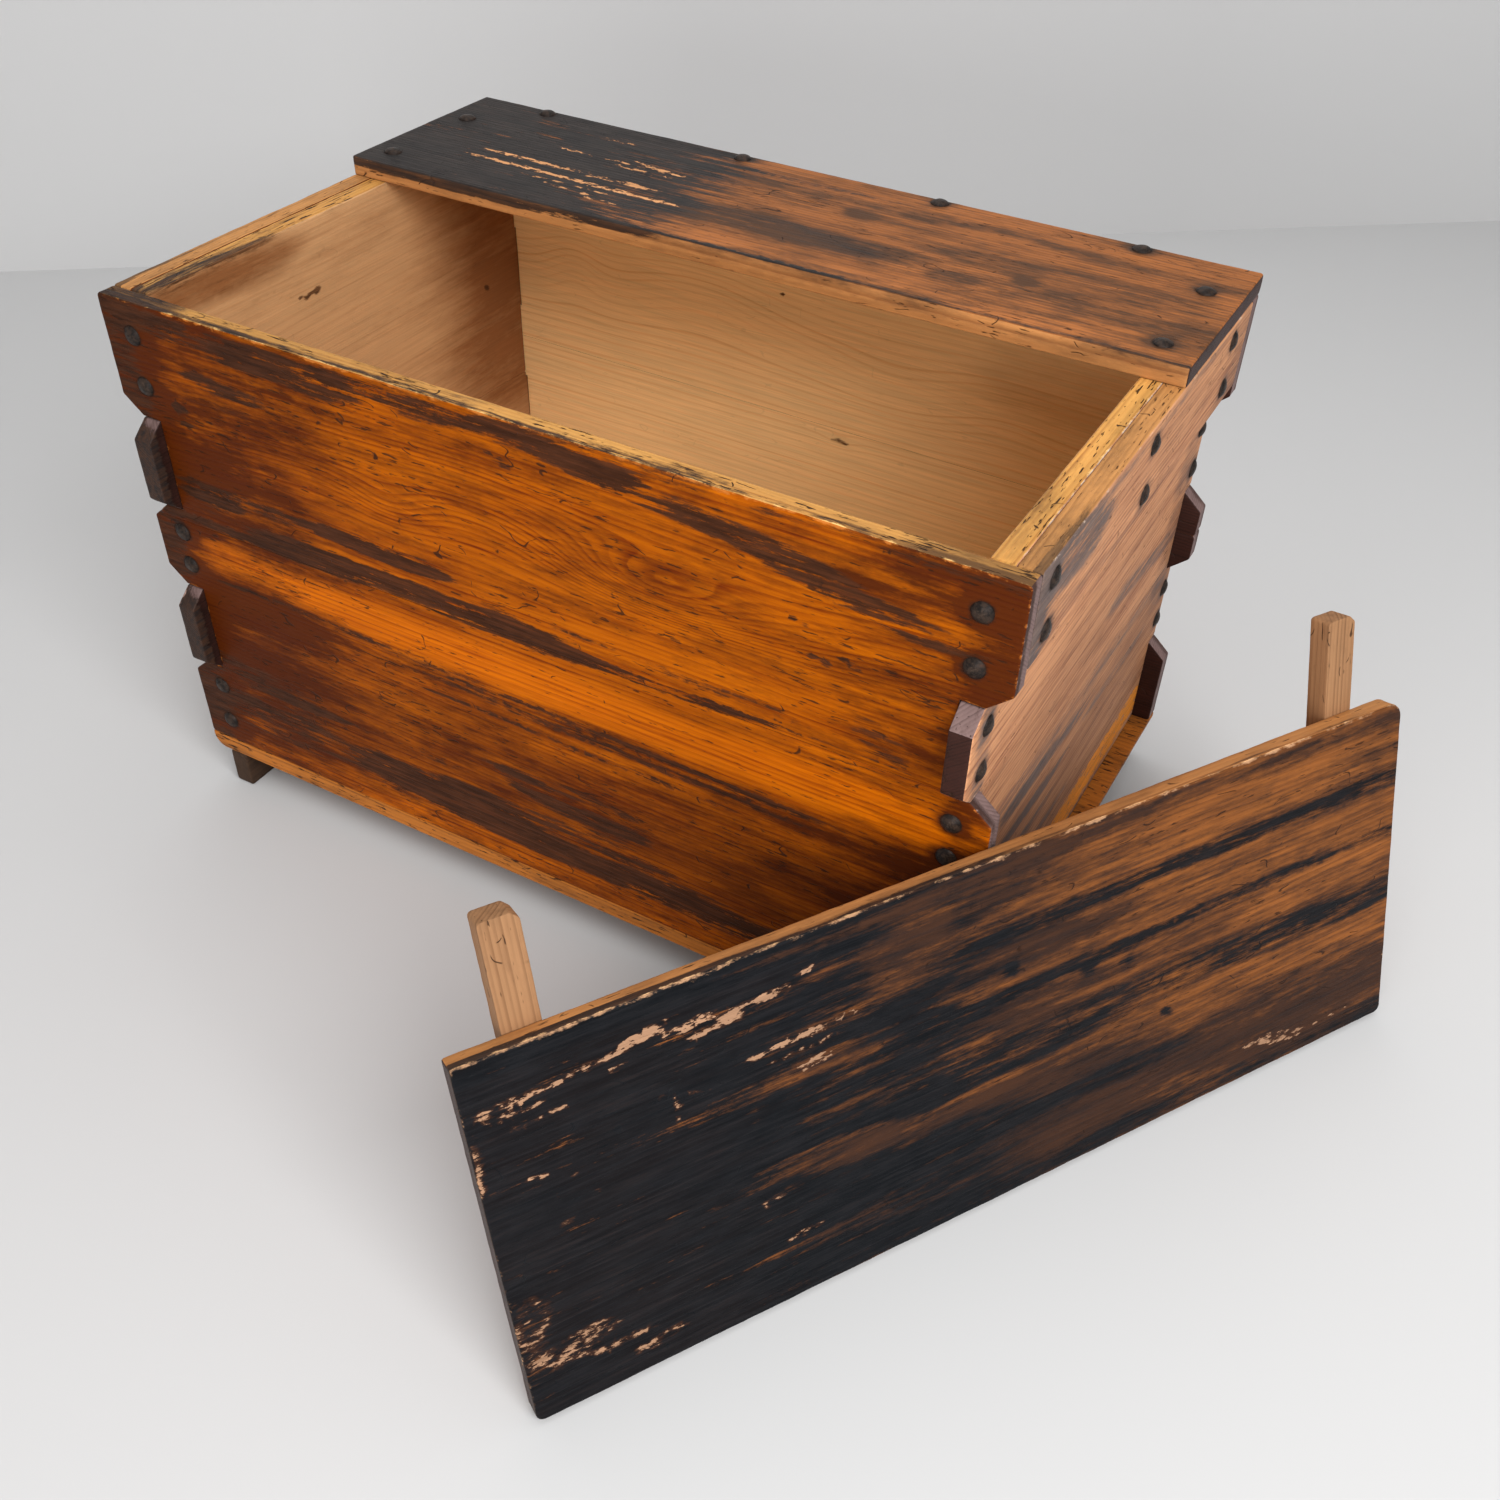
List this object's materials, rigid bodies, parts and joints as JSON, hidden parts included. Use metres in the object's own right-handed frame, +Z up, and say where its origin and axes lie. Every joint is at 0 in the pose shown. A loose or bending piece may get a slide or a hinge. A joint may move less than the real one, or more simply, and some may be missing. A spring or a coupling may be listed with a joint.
{
  "type": "wooden plank storage chest",
  "caption": "Rectangular plank storage chest on bearers, with finger and tongue corners, domed nails, a fixed rear top board and a lift-off battened lid, shown leaning on one corner.",
  "frame": {"origin": "on the floor, at the middle of the box round the chest and its leaning lid", "axes": "+X left to right along the chest, over its finger tips; +Y from its front face to its back face; +Z up"},
  "size_m": [1.3744, 1.1526, 0.659],
  "materials": {
    "lacquered_wood": "worn orange-brown lacquer over planks, dark in the corners",
    "dark_wood": "nearly black worn lacquer with scraped pale patches",
    "bare_wood": "bare dry wood, rubbed",
    "iron": "dark forged iron, rubbed on the crowns"
  },
  "bodies": {
    "chest": {"front_lower_board": "lacquered_wood", "front_upper_board": "lacquered_wood", "back_lower_board": "lacquered_wood", "back_upper_board": "lacquered_wood", "left_end_lower_board": "lacquered_wood", "left_end_upper_board": "lacquered_wood", "right_end_lower_board": "lacquered_wood", "right_end_upper_board": "lacquered_wood", "left_top_rail": "lacquered_wood", "right_top_rail": "lacquered_wood", "bottom_front_board": "bare_wood", "bottom_rear_board": "bare_wood", "left_bearer": "bare_wood", "right_bearer": "bare_wood", "fixed_top_board": "dark_wood", "front_left_nails": "iron", "front_right_nails": "iron", "back_left_nails": "iron", "back_right_nails": "iron", "left_tongue_nails": "iron", "right_tongue_nails": "iron", "left_rail_nails": "iron", "right_rail_nails": "iron", "fixed_board_nails": "iron", "bottom_nails": "iron", "left_bearer_nails": "iron", "right_bearer_nails": "iron"},
    "lid": {"lid_board": "dark_wood", "lid_left_batten": "bare_wood", "lid_right_batten": "bare_wood", "lid_left_batten_nails": "iron", "lid_right_batten_nails": "iron"}
  },
  "joints": [
    {"name": "lid_lift", "type": "slide", "parent": "chest", "child": "lid", "axis": [0, 0, 1], "range_m": [0, 0.66]}
  ]
}
